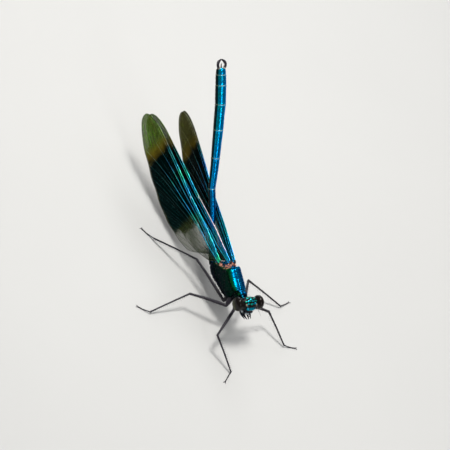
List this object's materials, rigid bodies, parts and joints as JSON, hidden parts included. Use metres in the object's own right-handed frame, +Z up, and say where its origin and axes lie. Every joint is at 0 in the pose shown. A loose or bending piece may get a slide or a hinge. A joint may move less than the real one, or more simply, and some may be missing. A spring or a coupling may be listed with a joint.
{
  "type": "damselfly model",
  "caption": "Life-size still model of a male banded demoiselle damselfly, standing with its wings half closed and its slender metallic blue abdomen raised between them.",
  "frame": {"origin": "the middle of the whole box seen from above, on the surface that the feet stand on", "axes": "+Z is up, the animal faces -Y so that +Y runs from its head to its wing tips, and +X is its own left"},
  "size_m": [0.0312, 0.0516, 0.0309],
  "materials": {
    "thorax_cuticle": "gloss",
    "abdomen_cuticle": "gloss",
    "head_cuticle": "gloss",
    "mouth_cuticle": "gloss",
    "compound_eye": "gloss",
    "leg_cuticle": "satin",
    "wing_membrane": "satin"
  },
  "bodies": {
    "root": {"head": "head_cuticle", "clypeus": "head_cuticle", "labrum": "mouth_cuticle", "mouthparts": "mouth_cuticle", "eye_left": "compound_eye", "eye_right": "compound_eye", "antenna_left": "leg_cuticle", "antenna_right": "leg_cuticle", "prothorax": "thorax_cuticle", "thorax": "thorax_cuticle", "abdomen_01": "abdomen_cuticle", "abdomen_02": "abdomen_cuticle", "abdomen_03": "abdomen_cuticle", "abdomen_04": "abdomen_cuticle", "abdomen_05": "abdomen_cuticle", "abdomen_06": "abdomen_cuticle", "abdomen_07": "abdomen_cuticle", "abdomen_08": "abdomen_cuticle", "abdomen_09": "abdomen_cuticle", "abdomen_10": "abdomen_cuticle", "cercus_left": "leg_cuticle", "cercus_right": "leg_cuticle", "wing_fore_left": "wing_membrane", "wing_fore_right": "wing_membrane", "wing_hind_left": "wing_membrane", "wing_hind_right": "wing_membrane", "coxa_fore_right": "leg_cuticle", "femur_fore_right": "leg_cuticle", "tibia_fore_right": "leg_cuticle", "tarsus_fore_right": "leg_cuticle", "coxa_fore_left": "leg_cuticle", "femur_fore_left": "leg_cuticle", "tibia_fore_left": "leg_cuticle", "tarsus_fore_left": "leg_cuticle", "coxa_mid_right": "leg_cuticle", "femur_mid_right": "leg_cuticle", "tibia_mid_right": "leg_cuticle", "tarsus_mid_right": "leg_cuticle", "coxa_mid_left": "leg_cuticle", "femur_mid_left": "leg_cuticle", "tibia_mid_left": "leg_cuticle", "tarsus_mid_left": "leg_cuticle", "coxa_hind_right": "leg_cuticle", "femur_hind_right": "leg_cuticle", "tibia_hind_right": "leg_cuticle", "tarsus_hind_right": "leg_cuticle", "coxa_hind_left": "leg_cuticle", "femur_hind_left": "leg_cuticle", "tibia_hind_left": "leg_cuticle", "tarsus_hind_left": "leg_cuticle"}
  },
  "joints": []
}
